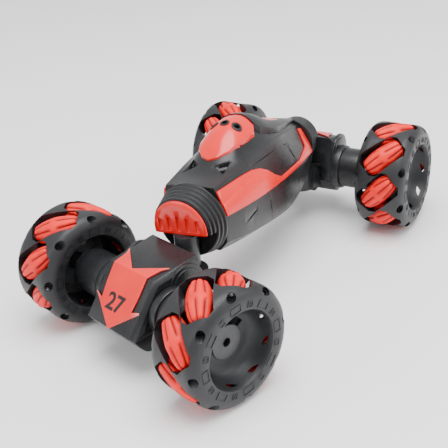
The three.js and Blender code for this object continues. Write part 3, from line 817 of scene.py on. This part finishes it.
cowl_half = [(0, -36), (7, -33), (13, -26), (16.5, -16), (18, -5), (18, 5), (15, 11), (0, 13)]
cowl = skin_plate(plan_prism(both_sides(cowl_half), 80, 160), 0.1, 1.5, "canopy_cowl")
for x in (-10, 0, 10):
    bore = bmesh.new()
    rod(bore, 2.6, 100, 160, Matrix.Translation((x, -5, 0)) @ along("Z"), 32)
    carved(cowl, drawn(bore, "bore"))
settled(cowl, body_place, panel_red, "car_body", ["canopy_insert"], edge=0.45, steps=2,
        smooth=40)
for x in (-10, 0, 10):
    circle = [(x + 3.7 * math.cos(a * math.tau / 28), -5 + 3.7 * math.sin(a * math.tau / 28))
              for a in range(28)]
    ring = skin_plate(plan_prism(circle, 80, 160), 0.1, 2.1, f"vent_ring_{x + 10}")
    bore = bmesh.new()
    rod(bore, 2.3, 100, 160, Matrix.Translation((x, -5, 0)) @ along("Z"), 28)
    carved(ring, drawn(bore, "bore"))
    settled(ring, body_place, print_black, "car_body", edge=0.3)

leaf_half = [(0, 31), (8, 32), (11.5, 36), (12, 42), (10.6, 52), (7.2, 68), (3, 84), (0, 91)]
frame_half = [(0, 13.4), (15, 11.4), (18.4, 14), (19.4, 26), (18, 42), (14, 60), (9, 78), (5.4, 91.5),
              (0, 91.8)]
roof_frame = skin_plate(plan_prism(both_sides(frame_half), 80, 160), 0.1, 2.3, "canopy_frame")
carved(roof_frame, drawn(plan_prism(both_sides(leaf_half), 80, 160), "leaf"))
settled(roof_frame, body_place, body_black, "car_body", edge=0.9, steps=3, smooth=40)
pane_half = [(x * 0.97, y + (0.4 if y < 40 else -0.4)) for x, y in leaf_half]
window = skin_plate(plan_prism(both_sides(pane_half), 80, 160), 0.1, 1.3, "canopy_window")
for y in (44, 49, 54):
    slit = bmesh.new()
    block(slit, (-3.6, y - 0.7, 100), (3.6, y + 0.7, 160))
    carved(window, drawn(slit, "slit"))
settled(window, body_place, panel_red, "car_body", edge=0.4, steps=2, smooth=40)


# ---- Side panels
# A glossy red panel is clipped to each flank: broad and arched in front, a narrow strip along the seam,
# and a pillar at the tail. A second layer inside the arch stands a little prouder.
FLANK = [(-64.5, 82.8), (6, 77.8), (56, 74), (86, 71.6), (90, 78), (90, 90.5), (84, 92), (78, 79), (56, 77),
         (14, 80.5), (5, 86), (-3, 93), (-12, 98), (-22, 100.6), (-36, 101.6), (-64.5, 101.6)]
ARCH = [(-64.5, 83.6), (4, 79), (2, 84), (-6, 91), (-15, 95), (-26, 96.6), (-64.5, 92)]
for name, low, high in (("side_panel_left", 5, 60), ("side_panel_right", -60, -5)):
    panel = skin_plate(side_prism(FLANK, low, high), 0.1, 1.3, f"{name}_fine")
    settled(panel, body_place, panel_red, "car_body", [name], edge=0.45, steps=2, smooth=34)
    layer = skin_plate(side_prism(ARCH, low, high), 1.2, 1.9, f"{name}_layer")
    settled(layer, body_place, panel_red, "car_body", edge=0.5, steps=2, smooth=34)


# ---- End collars and grilles
# A black collar of stepped rings is moulded to each end of the body over its swivel pin. A red louvred
# plate with a flat lower edge is clipped to its face.
CHIN = 76.2
for end, wall, height, radius, turn in (("front", -65.0, 80.0, 28.0, -1), ("rear", 92.0, 76.0, 21.0, 1)):
    collar_profile = [(0, 0.3)]
    for i in range(5):
        outer = radius - i * (1.05 if end == "front" else 0.85)
        start = 0.3 + i * 3.72
        collar_profile += [(outer - 0.9, start), (outer, start + 0.5), (outer, start + 2.3),
                           (outer - 0.9, start + 2.9)]
    collar_profile.append((0, 18.9))
    ring = drawn(turned(collar_profile, 96), f"{end}_knuckle_fine")
    ring.data.transform(Matrix.Translation((0, wall, height)) @ Matrix.Rotation(turn * math.pi / 2, 4, "Z"))
    chin = bmesh.new()
    near, far = wall + turn * 10.8, wall + turn * 60
    block(chin, (-60, min(near, far), 0), (60, max(near, far), CHIN))
    carved(ring, drawn(chin, "chin"))
    settled(ring, body_place, body_black, "car_body", [f"{end}_knuckle"], edge=0.35, steps=2,
            smooth=34)
    pivot = Vector(joint[f"{end}_swivel"]["pos_m"]) * 1000
    post = bmesh.new()
    upright_pin = Matrix.Translation((pivot.x, pivot.y, 0)) @ along("Z")
    rod(post, 8.9, 50, 77, upright_pin, 40)
    rod(post, 3.9, 38, 52, upright_pin, 32)
    settled(drawn(post, f"{end}_swivel_post"), MM, body_black, "car_body", edge=0.5)
    reach = radius - 6.0
    dome = [(0, 19.3), (reach, 19.3), (reach, 20.4), (reach - 0.8, 21.1), (reach - 4, 21.6), (0, 22.0)]
    face = drawn(turned(dome, 72), f"{end}_grille_fine")
    face.data.transform(Matrix.Translation((0, wall, height)) @ Matrix.Rotation(turn * math.pi / 2, 4, "Z"))
    chin = bmesh.new()
    block(chin, (-60, -140, 0), (60, 140, CHIN + 0.7))
    carved(face, drawn(chin, "chin"))
    for i in range(-2, 3):
        slit = bmesh.new()
        x = i * reach * 0.35
        front_y = wall + turn * 23
        tall = 11.5 - abs(i) * 1.4 if end == "front" else 7.5 - abs(i)
        block(slit, (x - 1.6, front_y - 2.6, CHIN + 3), (x + 1.6, front_y + 2.6, CHIN + 3 + tall))
        carved(face, drawn(slit, "slit"))
    settled(face, body_place, panel_red, "car_body", [f"{end}_grille"], edge=0.3, steps=2,
            smooth=34)


# ---- Battery, gearboxes, cover and switch
# The battery is shrink-wrapped in blue film. The gearboxes and the switch are grey plastic, and the
# battery cover is the lower shell's own black.
film = Finish("cell_wrap", Specular_IOR_Level=0.5, Coat_Weight=0.4, Coat_Roughness=0.15)
wrinkle = film.noise(60.0, 5.0)
cell_wrap = film.wear(film.between((0.02, 0.06, 0.22, 1), (0.04, 0.10, 0.32, 1), wrinkle),
                      0.3 + film.noise(300.0) * 0.15, wrinkle)
gearbox_grey = grained_black("gearbox_grey", (0.18, 0.185, 0.19, 1), (0.28, 0.285, 0.29, 1), 0.42, 1900.0)
for name, finish in (("battery_pack", cell_wrap), ("front_gearbox", gearbox_grey), ("rear_gearbox", gearbox_grey),
                     ("power_switch", gearbox_grey), ("battery_cover", body_black)):
    frame["nodes"][name].material_slots[0].material = finish


# ---- Floor and light
# A pale seamless floor, one broad soft light above and a weaker one on each side.
floor_mesh = bmesh.new()
bmesh.ops.create_grid(floor_mesh, x_segments=1, y_segments=1, size=6)
floor = drawn(floor_mesh, "floor")
floor_finish = Finish("floor_white", Specular_IOR_Level=0.35)
floor.data.materials.append(floor_finish.wear(
    floor_finish.between((0.93, 0.93, 0.935, 1), (0.96, 0.96, 0.962, 1), floor_finish.noise(2.0)),
    0.32 + floor_finish.noise(3.0) * 0.05,
    floor_finish.noise(400.0) * 0.02,
))
world = bpy.data.worlds.new("studio")
bpy.context.scene.world = world
world.use_nodes = True
world.node_tree.nodes["Background"].inputs["Color"].default_value = (1, 1, 1, 1)
world.node_tree.nodes["Background"].inputs["Strength"].default_value = 1.0
for name, spot, size, power in (("overhead", (0.2, -0.1, 1.4), 1.3, 34), ("left_side", (1.5, 0.4, 0.8), 1.0, 9),
                                ("front_side", (-0.9, -1.3, 0.9), 0.9, 6)):
    light_data = bpy.data.lights.new(name, "AREA")
    light_data.shape = "DISK"
    light_data.size = size
    light_data.energy = power
    light = bpy.data.objects.new(name, light_data)
    light.location = spot
    light.rotation_euler = (Vector((0, 0, 0.05)) - Vector(spot)).to_track_quat("-Z", "Y").to_euler()
    bpy.context.scene.collection.objects.link(light)
